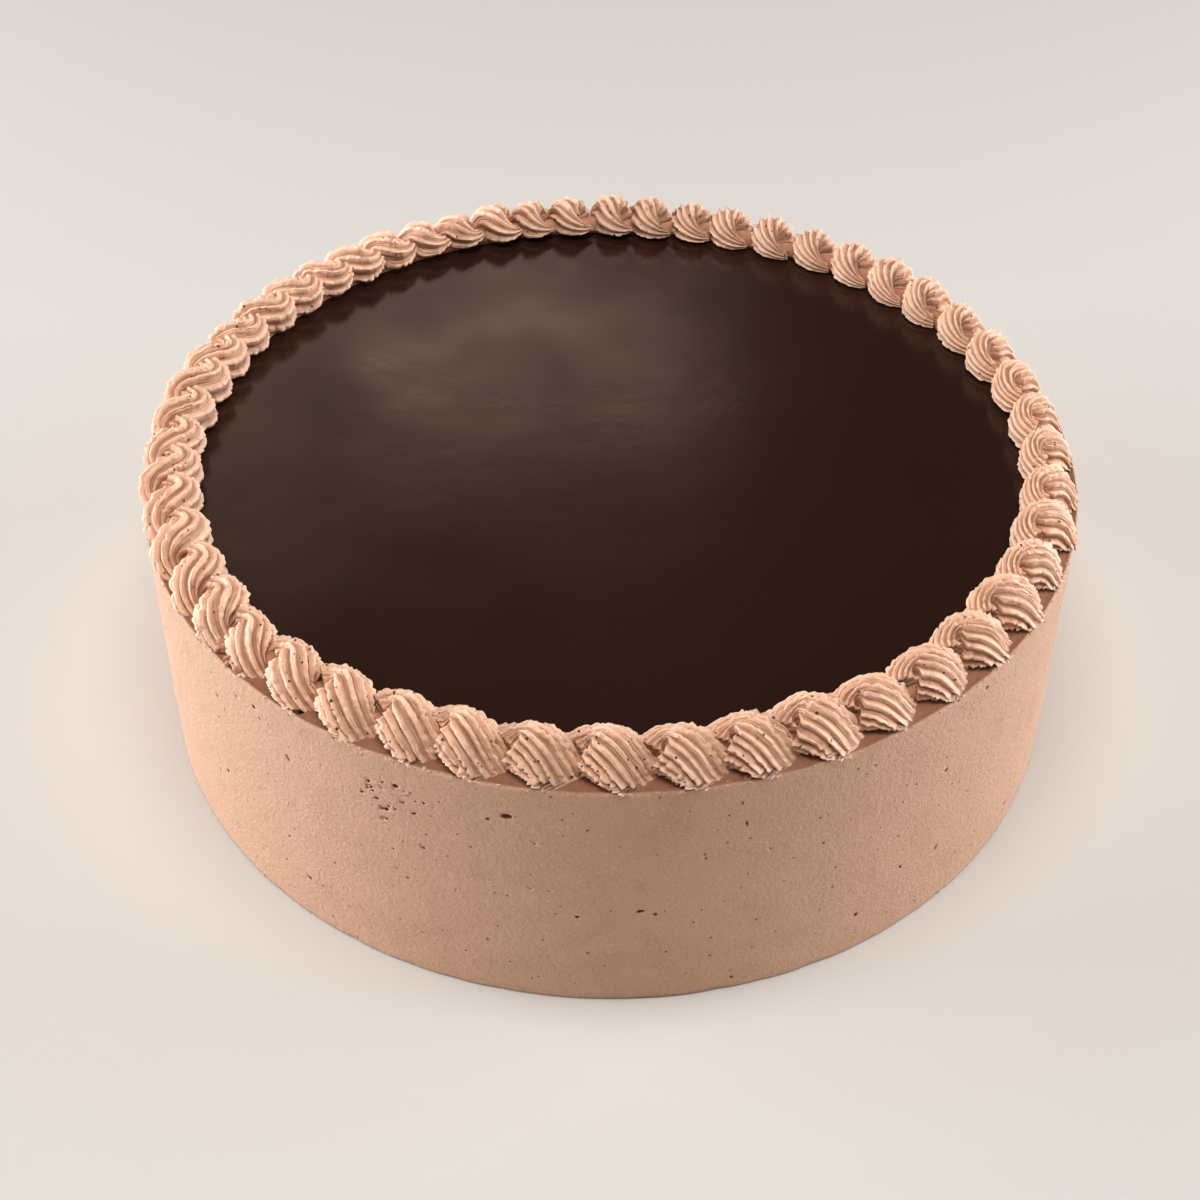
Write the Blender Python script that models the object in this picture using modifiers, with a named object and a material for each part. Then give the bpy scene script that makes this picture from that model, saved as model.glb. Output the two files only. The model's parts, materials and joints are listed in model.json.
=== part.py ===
"""A round chocolate cake: a buttercream-coated body, a glaze disc set in its top and a piped rope border.

Units are metres. The cake stands on z = 0 with its axis on +Z. Azimuths run from +X towards +Y,
and the border was piped counter-clockwise, seen from above.
"""

import math
import random
from dataclasses import dataclass

import bmesh
import bpy

# Cake body
CAKE_RADIUS = 0.120
CAKE_HEIGHT = 0.0713
SIDE_LEAN = 0.0012
RIM_ROUNDING = 0.0007
FOOT_ROUNDING = 0.0010
TURN_STEPS = 72

# Glaze disc, flush in a shallow recess of the top
GLAZE_RADIUS = 0.1120
GLAZE_THICKNESS = 0.0020
GLAZE_ROUNDING = 0.0004
FIT_GAP = 0.0003
MERGE_DISTANCE = 0.000001

# Ring of the piped border and the uneven spacing of its shells
SHELL_COUNT = 51
BORDER_RADIUS = 0.1123
BAND_WIDTH = 0.0162
FIRST_AZIMUTH = math.radians(-84.7)
WIDE_SIDE = math.radians(-50.6)
SPACING_SWING = math.radians(8.44)
JOIN_SHELL = 45
JOIN_AZIMUTH = math.radians(-137.5)
JOIN_SQUEEZE = 0.78

# One shell: a ridged strand that swings inwards, turns outwards over its crest and folds down to its foot
SHELL_COVER = 1.70
STRAND_LENGTH = 1.05
STRAND_HALF_WIDTH = 0.45
CREST_HEIGHT = 0.0085
CREST_PER_PITCH = 0.25
PINCHED_WIDTH = 0.70
PINCHED_HEIGHT = 0.62
NOSE_WIDTH = 0.90
NOSE_HEIGHT = 0.80
WIDEST_AT = 0.50
BEND_AT = 0.62
FOLD_FROM = 0.42
UNDERCUT = math.radians(26)
CORE_SHARE = 0.60
OUTER_PART = 0.30
RIDGE_COUNT = 6
RIDGE_DEPTH = 0.17
STATIONS = (0.0, 0.3, 0.55, 0.8, 1.0)
PATH_STEPS = 120

# Headings of the strand, from the ring's direction towards its outside; they drift round the cake
CURL_SIDE = math.radians(-20)
START_HEADING = math.radians(-5)
START_DRIFT = math.radians(-55)
MIDDLE_HEADING = math.radians(72)
MIDDLE_DRIFT = math.radians(18)
END_HEADING = math.radians(42)
END_DRIFT = math.radians(45)

# Unevenness of the piping
AZIMUTH_JITTER = 0.04
SIZE_JITTER = 0.05
MIDDLE_JITTER = math.radians(6)
END_JITTER = math.radians(12)
PIPING_SEED = 11

# Colours of the materials, linear
BUTTERCREAM = (0.560, 0.318, 0.205, 1.0)
PIPED_CREAM = (0.640, 0.376, 0.254, 1.0)
DARK_GLAZE = (0.018, 0.009, 0.007, 1.0)


@dataclass(frozen=True)
class Shell:
    """One shell of the border: its place, its share of the ring and the headings of its strand."""

    azimuth: float
    pitch: float
    size: float
    start_heading: float
    middle_heading: float
    end_heading: float


def clear_scene():
    """Removes every object of the starting scene."""
    for item in list(bpy.data.objects):
        bpy.data.objects.remove(item, do_unlink=True)


def new_collection(name):
    """Makes a collection under the scene's own."""
    collection = bpy.data.collections.new(name)
    bpy.context.scene.collection.children.link(collection)
    return collection


def new_material(name, colour, roughness):
    """Makes a Principled material of one colour."""
    material = bpy.data.materials.new(name)
    material.use_nodes = True
    shader = material.node_tree.nodes["Principled BSDF"]
    shader.inputs["Base Color"].default_value = colour
    shader.inputs["Roughness"].default_value = roughness
    shader.inputs["Metallic"].default_value = 0.0
    material.diffuse_color = colour
    return material


def rounding(radius_at, height_at, rounding_radius, start, end, steps):
    """Gives the points of an arc in the turned profile, about a centre."""
    points = []
    for step in range(steps + 1):
        angle = math.radians(start + (end - start) * step / steps)
        points.append((
            radius_at + rounding_radius * math.cos(angle),
            height_at + rounding_radius * math.sin(angle),
        ))
    return points


def turned_solid(name, profile, collection, material):
    """Turns a profile of (radius, height) points about Z; the profile runs from the top axis to the bottom axis."""
    mesh = bpy.data.meshes.new(name)
    vertices = [(radius, 0.0, height) for radius, height in profile]
    edges = [(index, index + 1) for index in range(len(profile) - 1)]
    mesh.from_pydata(vertices, edges, [])
    item = bpy.data.objects.new(name, mesh)
    collection.objects.link(item)
    screw = item.modifiers.new("turn", "SCREW")
    screw.axis = "Z"
    screw.angle = math.tau
    screw.steps = TURN_STEPS
    screw.render_steps = TURN_STEPS
    screw.use_merge_vertices = True
    screw.merge_threshold = MERGE_DISTANCE
    mesh.materials.append(material)
    return item


def cake_body(collection, material):
    """The solid cake under its buttercream, with the glaze's recess in its top."""
    recess_radius = GLAZE_RADIUS + FIT_GAP
    recess_floor = CAKE_HEIGHT - GLAZE_THICKNESS - FIT_GAP
    foot_radius = CAKE_RADIUS + SIDE_LEAN
    rim = rounding(CAKE_RADIUS - RIM_ROUNDING, CAKE_HEIGHT - RIM_ROUNDING, RIM_ROUNDING, 90, 0, 2)
    foot = rounding(foot_radius - FOOT_ROUNDING, FOOT_ROUNDING, FOOT_ROUNDING, 0, -90, 2)
    profile = [(0.0, recess_floor), (recess_radius, recess_floor), (recess_radius, CAKE_HEIGHT)]
    profile += rim + foot + [(0.0, 0.0)]
    return turned_solid("buttercream_cake", profile, collection, material)


def glaze_disc(collection, material):
    """The chocolate glaze, a thin disc whose edge lies under the border."""
    floor = CAKE_HEIGHT - GLAZE_THICKNESS
    edge = rounding(GLAZE_RADIUS - GLAZE_ROUNDING, CAKE_HEIGHT - GLAZE_ROUNDING, GLAZE_ROUNDING, 90, 0, 1)
    profile = [(0.0, CAKE_HEIGHT)] + edge + [(GLAZE_RADIUS, floor), (0.0, floor)]
    return turned_solid("chocolate_glaze", profile, collection, material)


def eased(share):
    """Runs smoothly from 0 to 1 as the share does."""
    share = min(max(share, 0.0), 1.0)
    return (1 - math.cos(math.pi * share)) / 2


def blend(start, end, share):
    """Runs smoothly from one value to another."""
    return start + (end - start) * eased(share)


def shell_azimuth(index):
    """Where a shell sits on the ring: wider apart on one side of the cake than on the other."""
    even = FIRST_AZIMUTH + math.tau * index / SHELL_COUNT
    return even + SPACING_SWING * math.sin(even - WIDE_SIDE)


def plan_shell(index, chance):
    """Plans one shell of the ring, a little different from the others; the last one piped is squeezed."""
    azimuth = shell_azimuth(index)
    spacing = (shell_azimuth(index + 1) - shell_azimuth(index - 1)) / 2
    azimuth += spacing * AZIMUTH_JITTER * chance.uniform(-1, 1)
    size = 1 + SIZE_JITTER * chance.uniform(-1, 1)
    if index == JOIN_SHELL:
        azimuth = JOIN_AZIMUTH
        size = JOIN_SQUEEZE
    curl = math.cos(azimuth - CURL_SIDE)
    start = START_HEADING + START_DRIFT * max(0.0, math.cos(azimuth))
    middle = MIDDLE_HEADING + MIDDLE_DRIFT * curl + MIDDLE_JITTER * chance.uniform(-1, 1)
    end = END_HEADING + END_DRIFT * curl + END_JITTER * chance.uniform(-1, 1)
    return Shell(azimuth, spacing * BORDER_RADIUS, size, start, middle, end)


def heading_at(shell, along):
    """Direction of the strand at a share of its length."""
    if along < BEND_AT:
        return blend(shell.start_heading, shell.middle_heading, along / BEND_AT)
    return blend(shell.middle_heading, shell.end_heading, (along - BEND_AT) / (1 - BEND_AT))


def strand_path(shell):
    """The strand's stations as (along, forward, outward, heading, turn per metre), walked in small steps."""
    length = shell.pitch * STRAND_LENGTH
    step = length / PATH_STEPS
    wanted = [round(station * PATH_STEPS) for station in STATIONS]
    forward, outward = 0.0, 0.0
    stations = []
    for number in range(PATH_STEPS + 1):
        before = heading_at(shell, (number - 0.5) / PATH_STEPS)
        after = heading_at(shell, (number + 0.5) / PATH_STEPS)
        if number in wanted:
            stations.append((number / PATH_STEPS, forward, outward, (before + after) / 2, (after - before) / step))
        forward += step * math.cos(after)
        outward += step * math.sin(after)
    return stations


def inside_the_turn(side, turn):
    """Narrows the half of a section that lies inside a turn of the strand, so that sections don't cross there."""
    if side * turn <= 0:
        return side
    limit = CORE_SHARE / abs(turn)
    return math.copysign(limit * math.tanh(abs(side) / limit), side)


def strand_section(shell, station):
    """One ridged section of a strand, from its outer foot over the crest to its inner foot."""
    along, forward, outward, heading, turn = station
    past_widest = along / WIDEST_AT - 1
    half_width = STRAND_HALF_WIDTH * shell.pitch
    half_width *= blend(PINCHED_WIDTH, 1.0, along / WIDEST_AT) * blend(1.0, NOSE_WIDTH, past_widest)
    crest = (CREST_HEIGHT + CREST_PER_PITCH * shell.pitch) * shell.size
    crest *= blend(PINCHED_HEIGHT, 1.0, along / WIDEST_AT) * blend(1.0, NOSE_HEIGHT, past_widest)
    fold = math.pi / 2 * eased((along - FOLD_FROM) / (1 - FOLD_FROM))
    corners = 2 * RIDGE_COUNT
    points = []
    for corner in range(corners + 1):
        angle = -UNDERCUT + (math.pi + 2 * UNDERCUT) * corner / corners
        swell = 1.0 if corner % 2 else 1.0 - RIDGE_DEPTH
        side = inside_the_turn(half_width * math.cos(angle) * swell, turn)
        rise = 0.0
        if 0 < corner < corners:
            rise = crest * (math.sin(angle) * swell + math.sin(UNDERCUT)) / (1 + math.sin(UNDERCUT))
        ahead = rise * math.sin(fold)
        points.append((
            forward - side * math.sin(heading) + ahead * math.cos(heading),
            outward + side * math.cos(heading) + ahead * math.sin(heading),
            rise * math.cos(fold),
        ))
    return points


def ring_point(azimuth, forward, outward, height):
    """A point of the border, from its distances along and across the ring."""
    angle = azimuth + forward / BORDER_RADIUS
    reach = BORDER_RADIUS + outward
    return (reach * math.cos(angle), reach * math.sin(angle), CAKE_HEIGHT + FIT_GAP + height)


def strand_sections(shell):
    """All sections of a shell, fitted to the width of the border and laid on the ring with its nose at its azimuth."""
    sections = [strand_section(shell, station) for station in strand_path(shell)]
    points = [point for section in sections for point in section]
    forwards = [point[0] for point in points]
    outwards = [point[1] for point in points]
    middle = (max(outwards) + min(outwards)) / 2
    width = max(outwards) - min(outwards)
    nose = [point[0] for point in points if point[1] - middle > OUTER_PART * width]
    nose_at = sum(nose) / len(nose)
    across = BAND_WIDTH * shell.size / width
    around = SHELL_COVER * shell.pitch / (max(forwards) - min(forwards))
    return [
        [
            ring_point(shell.azimuth, (forward - nose_at) * around, (outward - middle) * across, height)
            for forward, outward, height in section
        ]
        for section in sections
    ]


def loft(name, sections, collection):
    """Joins ridged sections into one closed solid with flat ends."""
    shape = bmesh.new()
    rows = [[shape.verts.new(point) for point in section] for section in sections]
    count = len(rows[0])
    for row, following in zip(rows, rows[1:]):
        for side in range(count):
            after = (side + 1) % count
            shape.faces.new((row[side], row[after], following[after], following[side]))
    shape.faces.new(list(reversed(rows[0])))
    shape.faces.new(rows[-1])
    bmesh.ops.recalc_face_normals(shape, faces=shape.faces)
    bmesh.ops.triangulate(shape, faces=shape.faces)
    mesh = bpy.data.meshes.new(name)
    shape.to_mesh(mesh)
    shape.free()
    item = bpy.data.objects.new(name, mesh)
    collection.objects.link(item)
    return item


def largest_piece(mesh):
    """Keeps the largest connected piece of a mesh and drops loose scraps and sealed hollows."""
    shape = bmesh.new()
    shape.from_mesh(mesh)
    bmesh.ops.remove_doubles(shape, verts=shape.verts, dist=MERGE_DISTANCE)
    waiting = set(shape.verts)
    pieces = []
    while waiting:
        stack = [waiting.pop()]
        piece = set(stack)
        while stack:
            for edge in stack.pop().link_edges:
                for vertex in edge.verts:
                    if vertex in waiting:
                        waiting.remove(vertex)
                        piece.add(vertex)
                        stack.append(vertex)
        pieces.append(piece)
    keep = max(pieces, key=len)
    scraps = [vertex for vertex in shape.verts if vertex not in keep]
    bmesh.ops.delete(shape, geom=scraps, context="VERTS")
    bmesh.ops.triangulate(shape, faces=shape.faces)
    shape.to_mesh(mesh)
    shape.free()


def piped_border(collection, material):
    """The rope border, every shell fused with its neighbours by one union."""
    strands = new_collection("border_strands")
    pieces = []
    chance = random.Random(PIPING_SEED)
    for index in range(SHELL_COUNT):
        home = collection if index == 0 else strands
        pieces.append(loft(f"strand_{index:02d}", strand_sections(plan_shell(index, chance)), home))
    border = pieces[0]
    border.name = "piped_border"
    union = border.modifiers.new("fuse", "BOOLEAN")
    union.operation = "UNION"
    union.operand_type = "COLLECTION"
    union.collection = strands
    union.solver = "EXACT"
    evaluated = border.evaluated_get(bpy.context.evaluated_depsgraph_get())
    mesh = bpy.data.meshes.new_from_object(evaluated)
    border.modifiers.remove(union)
    border.data = mesh
    mesh.name = "piped_border"
    for piece in pieces[1:]:
        bpy.data.objects.remove(piece, do_unlink=True)
    bpy.data.collections.remove(strands)
    largest_piece(mesh)
    mesh.materials.clear()
    mesh.materials.append(material)
    return border


def shade(item, angle):
    """Shades a piece smooth, with an edge where its faces meet more sharply than the angle."""
    item.data.shade_smooth()
    item.data.set_sharp_from_angle(angle=math.radians(angle))


def main():
    clear_scene()
    cake = new_collection("chocolate_cake")
    body = cake_body(cake, new_material("buttercream", BUTTERCREAM, 0.75))
    glaze = glaze_disc(cake, new_material("dark_chocolate_glaze", DARK_GLAZE, 0.35))
    border = piped_border(cake, new_material("piped_buttercream", PIPED_CREAM, 0.70))
    for item in (body, glaze):
        item.modifiers["turn"].use_smooth_shade = True
    shade(border, 50)


main()
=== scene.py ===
"""Looks of a round chocolate cake: smoothed buttercream, a dark ganache top and a border of piped shells.

Units are metres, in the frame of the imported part: the cake stands on z = 0 with its axis on +Z.
Azimuths run from +X towards +Y, and the border was piped counter-clockwise, seen from above.
"""

import json
import logging
import math
import random
from dataclasses import dataclass, field
from enum import Enum
from typing import Any, Mapping, Optional, Sequence

import bmesh
import bpy
import numpy as np
from mathutils import Matrix, Vector

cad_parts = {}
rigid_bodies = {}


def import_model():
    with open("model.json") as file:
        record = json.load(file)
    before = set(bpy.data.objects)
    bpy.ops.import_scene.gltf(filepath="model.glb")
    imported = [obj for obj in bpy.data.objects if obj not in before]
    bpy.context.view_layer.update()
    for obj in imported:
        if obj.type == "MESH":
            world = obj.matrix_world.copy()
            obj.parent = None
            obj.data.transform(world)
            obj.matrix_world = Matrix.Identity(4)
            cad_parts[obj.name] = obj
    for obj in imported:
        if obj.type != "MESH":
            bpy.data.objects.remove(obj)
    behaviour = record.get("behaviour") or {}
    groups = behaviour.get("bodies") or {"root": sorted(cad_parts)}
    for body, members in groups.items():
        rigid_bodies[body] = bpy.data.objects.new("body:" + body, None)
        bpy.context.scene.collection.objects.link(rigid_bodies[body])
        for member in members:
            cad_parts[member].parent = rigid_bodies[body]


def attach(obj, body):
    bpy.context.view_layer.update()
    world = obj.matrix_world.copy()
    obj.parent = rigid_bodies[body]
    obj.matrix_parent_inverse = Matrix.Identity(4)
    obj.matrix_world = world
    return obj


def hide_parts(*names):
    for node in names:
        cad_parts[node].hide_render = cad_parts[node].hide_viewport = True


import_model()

log = logging.getLogger("chocolate_cake")
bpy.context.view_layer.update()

Colour = tuple[float, float, float, float]
Pair = tuple[float, float]
Mixture = tuple[float, float, float, float]


class Slot(Enum):
    """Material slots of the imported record."""

    COAT = "buttercream"
    BORDER = "piped_buttercream"
    TOP = "dark_chocolate_glaze"


class Mark(Enum):
    """What a mesh tells its finish about each of its points."""

    CREST = "crest"
    STRAND = "strand"
    # Where painted shade goes inside the air holes.
    HOLE = "hole"
    # Where painted shade falls on the strip of coat under the shells.
    LEDGE = "ledge"


def linear(hex_colour: str) -> Colour:
    """Turns an sRGB hex colour into linear values.

    Args:
        hex_colour: Six hex digits after a hash.

    Returns:
        Red, green, blue and an alpha of 1.
    """
    shares = [int(hex_colour[start : start + 2], 16) / 255 for start in (1, 3, 5)]
    values = [share / 12.92 if share <= 0.04045 else ((share + 0.055) / 1.055) ** 2.4 for share in shares]
    return (values[0], values[1], values[2], 1.0)


def add_node(
    tree: bpy.types.NodeTree,
    kind: str,
    settings: Optional[Mapping[str, Any]] = None,
    inputs: Optional[Mapping[Any, Any]] = None,
) -> bpy.types.Node:
    """Adds a node with its settings and links.

    Args:
        tree: The node tree.
        kind: The node's type.
        settings: Properties of the node.
        inputs: Sockets by name or number, each with a value or with the socket that feeds it.

    Returns:
        The new node.
    """
    node = tree.nodes.new(kind)
    for name, value in (settings or {}).items():
        setattr(node, name, value)
    for key, value in (inputs or {}).items():
        if isinstance(value, bpy.types.NodeSocket):
            tree.links.new(value, node.inputs[key])
        else:
            node.inputs[key].default_value = value
    return node


def start_tree(name: str, inputs: Mapping[str, Any]) -> tuple[bpy.types.NodeTree, Any]:
    """Starts a Geometry Nodes tree with named inputs.

    Args:
        name: Name of the tree.
        inputs: Names of its inputs, each with its number, or with its socket type if it isn't a number.

    Returns:
        The tree, and the sockets that give its inputs.
    """
    tree = bpy.data.node_groups.new(name, "GeometryNodeTree")
    for title, value in inputs.items():
        number = {int: "NodeSocketInt", float: "NodeSocketFloat"}.get(type(value))
        socket = tree.interface.new_socket(title, in_out="INPUT", socket_type=number or value)
        if number:
            socket.default_value = value
    tree.interface.new_socket("Geometry", in_out="OUTPUT", socket_type="NodeSocketGeometry")
    return tree, add_node(tree, "NodeGroupInput").outputs


def end_tree(
    tree: bpy.types.NodeTree,
    instances: bpy.types.NodeSocket,
    material: bpy.types.NodeSocket,
) -> None:
    """Makes a tree's instances real, sets their material and hands them out.

    Args:
        tree: The Geometry Nodes tree.
        instances: Socket that gives the instances.
        material: Socket that gives the material.
    """
    real = add_node(tree, "GeometryNodeRealizeInstances", {}, {"Geometry": instances})
    coated = add_node(tree, "GeometryNodeSetMaterial", {}, {
        "Geometry": real.outputs["Geometry"], "Material": material,
    })
    add_node(tree, "NodeGroupOutput", {}, {"Geometry": coated.outputs["Geometry"]})


def add_object(name: str, data: bpy.types.ID) -> bpy.types.Object:
    """Adds an object to the scene, at the origin."""
    item = bpy.data.objects.new(name, data)
    bpy.context.scene.collection.objects.link(item)
    return item


def settle(item: bpy.types.Object) -> None:
    """Turns an object with live modifiers into a plain mesh without them.

    Args:
        item: The object.
    """
    evaluated = item.evaluated_get(bpy.context.evaluated_depsgraph_get())
    mesh = bpy.data.meshes.new_from_object(evaluated)
    item.modifiers.clear()
    item.data = mesh
    mesh.name = item.name


def grow(
    name: str,
    tree: bpy.types.NodeTree,
    values: Mapping[str, Any],
    mesh: Optional[bpy.types.Mesh] = None,
) -> bpy.types.Object:
    """Runs a Geometry Nodes tree and keeps its result as a plain mesh.

    Args:
        name: Name of the new object.
        tree: The tree.
        values: Values of the tree's inputs, by name.
        mesh: The mesh that the tree works on, if it works on one.

    Returns:
        The object.
    """
    item = add_object(name, mesh or bpy.data.meshes.new(name))
    modifier = item.modifiers.new("nodes", "NODES")
    modifier.node_group = tree
    for socket in tree.interface.items_tree:
        if socket.item_type == "SOCKET" and socket.in_out == "INPUT" and socket.name in values:
            modifier[socket.identifier] = values[socket.name]
    settle(item)
    return item


def mesh_object(name: str, vertices: np.ndarray, faces: Sequence[Sequence[int]]) -> bpy.types.Object:
    """Makes a smooth-shaded mesh object at the origin.

    Args:
        name: Name of the object and of its mesh.
        vertices: Points, three numbers each.
        faces: Corner numbers of each face, counter-clockwise from outside.

    Returns:
        The object, linked to the scene.
    """
    mesh = bpy.data.meshes.new(name)
    mesh.from_pydata(vertices.tolist(), [], [tuple(face) for face in faces])
    mesh.shade_smooth()
    return add_object(name, mesh)


def grid_faces(rows: int, columns: int, looped: bool = False) -> np.ndarray:
    """Numbers the corners of the four-sided faces between closed rings of points.

    Args:
        rows: How many rings there are.
        columns: Points in each ring.
        looped: Whether the last ring meets the first.

    Returns:
        One line of four numbers for each face.
    """
    row = np.arange(rows if looped else rows - 1)[:, None]
    here = np.arange(columns)[None, :]
    below = (row + 1) % rows * columns
    after = (here + 1) % columns
    corners = [row * columns + here, below + here, below + after, row * columns + after]
    return np.stack(corners, axis=-1).reshape(-1, 4)


def closed_rings(name: str, points: np.ndarray, top: float, bottom: float) -> bpy.types.Object:
    """Makes a closed mesh out of rings of points, with a middle point above and one below.

    Args:
        name: Name of the object.
        points: The rings, from the one round the upper middle outwards and down to the lower middle.
        top: Height of the upper middle.
        bottom: Height of the lower middle.

    Returns:
        The object.
    """
    rings, columns, _ = points.shape
    upper = rings * columns
    last = upper - columns
    faces = [tuple(face) for face in grid_faces(rings, columns)]
    for column in range(columns):
        after = (column + 1) % columns
        faces.append((upper, column, after))
        faces.append((upper + 1, last + after, last + column))
    return mesh_object(name, np.vstack([points.reshape(-1, 3), [[0, 0, top], [0, 0, bottom]]]), faces)


def mark(item: bpy.types.Object, name: Mark, values: np.ndarray) -> None:
    """Writes what each point of a mesh tells its finish.

    Args:
        item: The object.
        name: What the values say.
        values: One number for each point, or three for its place on a strand.
    """
    kind, key = ("FLOAT_VECTOR", "vector") if name is Mark.STRAND else ("FLOAT", "value")
    layer = item.data.attributes.new(name.value, kind, "POINT")
    layer.data.foreach_set(key, values.astype(np.float32).ravel())


def lumpy_spheres(name: str, places: Sequence[Matrix]) -> bpy.types.Object:
    """Makes one object out of slightly lumpy spheres.

    Args:
        name: Name of the object.
        places: A matrix for each sphere, from a unit sphere to its place.

    Returns:
        The object.
    """
    shape = bmesh.new()
    chance = random.Random(23)
    for place in places:
        made = bmesh.ops.create_icosphere(shape, subdivisions=2, radius=1.0)["verts"]
        for vertex in made:
            vertex.co *= chance.uniform(0.88, 1.12)
        bmesh.ops.transform(shape, matrix=place, verts=made)
    mesh = bpy.data.meshes.new(name)
    shape.to_mesh(mesh)
    shape.free()
    mesh.shade_smooth()
    return add_object(name, mesh)


def dress(item: bpy.types.Object, material: bpy.types.Material, slot: Slot, *nodes: str) -> None:
    """Gives a finished piece its material, its body and the nodes that it stands for.

    Args:
        item: The piece.
        material: Its finish.
        slot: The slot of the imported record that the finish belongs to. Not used.
        nodes: CAD nodes that the piece replaces.
    """
    item.data.materials.clear()
    item.data.materials.append(material)
    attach(item, "root")
    if nodes:
        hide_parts(*nodes)
    log.info("%s: %d faces", item.name, len(item.data.polygons))


def eased(share: Any) -> Any:
    """Runs smoothly from 0 to 1 as the share does."""
    return (1 - np.cos(np.pi * np.clip(share, 0.0, 1.0))) / 2


def blend(start: Any, end: Any, share: Any) -> Any:
    """Runs smoothly from one value to another as the share runs from 0 to 1."""
    return start + (end - start) * eased(share)


def waves(azimuth: np.ndarray, level: Any, size: float, seed: int, count: int = 7) -> np.ndarray:
    """Gives gentle unevenness of about -1 to 1 over a round wall, closed all the way round.

    Args:
        azimuth: Angle round the axis at each point.
        level: Height of each point, or 0 where the unevenness runs round the axis only.
        size: Rough size of a bump, in metres.
        seed: Seed of the draw.
        count: How many waves are added.

    Returns:
        The unevenness at each point.
    """
    chance = random.Random(seed)
    wall_radius = 0.12
    total = np.zeros(np.broadcast(azimuth, level).shape)
    for _ in range(count):
        turns = max(1, round(math.tau * wall_radius / size * chance.uniform(0.4, 1.3)))
        rate = math.tau / size * chance.uniform(-0.9, 0.9)
        total = total + np.sin(turns * azimuth + rate * level + chance.uniform(0, math.tau))
    return total / math.sqrt(count) / 1.4


@dataclass(frozen=True)
class Relief:
    """How strongly a pattern raises a surface, and how far in metres. Inward, it sinks it instead."""

    strength: float
    depth: float
    inward: bool = False


@dataclass(frozen=True)
class Pattern:
    """A cloudy pattern in a material.

    Attributes:
        size: Size of its lumps, in metres.
        detail: How many finer levels it has.
        relief: How it raises the surface.
        roughness: Strength of each finer level as a share of the one before.
    """

    size: float
    detail: float
    relief: Relief = Relief(0.0, 0.0)
    roughness: float = 0.5

    def grow(self, tree: bpy.types.NodeTree, place: bpy.types.NodeSocket) -> bpy.types.NodeSocket:
        """Draws the pattern.

        Args:
            tree: The material's node tree.
            place: Socket that gives each point's place.

        Returns:
            The socket that gives the pattern, from 0 to 1.
        """
        noise = add_node(tree, "ShaderNodeTexNoise", {}, {
            "Vector": place, "Scale": 1 / self.size, "Detail": self.detail, "Roughness": self.roughness,
        })
        return noise.outputs["Fac"]


@dataclass(frozen=True)
class Finish:
    """What all finishes share.

    Attributes:
        name: Name of the material.
        roughness: How dull its gloss is.
        specular: Strength of its gloss, where 0.5 is usual.
    """

    name: str = "plain"
    roughness: float = 0.5
    specular: float = 0.35

    def start(self) -> tuple[bpy.types.Material, bpy.types.Node, bpy.types.NodeSocket]:
        """Starts the material.

        Returns:
            The material, its shader, and the socket that gives each point's place on the object.
        """
        material = bpy.data.materials.new(self.name)
        material.use_nodes = True
        shader = material.node_tree.nodes["Principled BSDF"]
        shader.inputs["Roughness"].default_value = self.roughness
        shader.inputs["Specular IOR Level"].default_value = self.specular
        return material, shader, add_node(material.node_tree, "ShaderNodeTexCoord").outputs["Object"]

    def colour_surface(
        self, shader: bpy.types.Node, base: str, layers: Sequence[tuple[bpy.types.NodeSocket, str]]
    ) -> None:
        """Lays colours over one another.

        Args:
            shader: The material's shader.
            base: The lowest colour.
            layers: Sockets that say where a colour shows, each with its colour, from the lowest up.
        """
        tree = shader.id_data
        under: Any = linear(base)
        for share, colour in layers:
            mixed = add_node(tree, "ShaderNodeMix", {"data_type": "RGBA"}, {
                "Factor": share, "A": under, "B": linear(colour),
            })
            under = mixed.outputs["Result"]
        tree.links.new(under, shader.inputs["Base Color"])

    def raise_surface(
        self, shader: bpy.types.Node, layers: Sequence[tuple[bpy.types.NodeSocket, Relief]]
    ) -> None:
        """Lays reliefs over one another.

        Args:
            shader: The material's shader.
            layers: Sockets that give heights from 0 to 1, each with its relief, the broadest first.
        """
        under = {}
        for height, relief in layers:
            bump = add_node(shader.id_data, "ShaderNodeBump", {"invert": relief.inward}, {
                "Height": height, "Strength": relief.strength, "Distance": relief.depth, **under,
            })
            under = {"Normal": bump.outputs["Normal"]}
        shader.id_data.links.new(under["Normal"], shader.inputs["Normal"])


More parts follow.
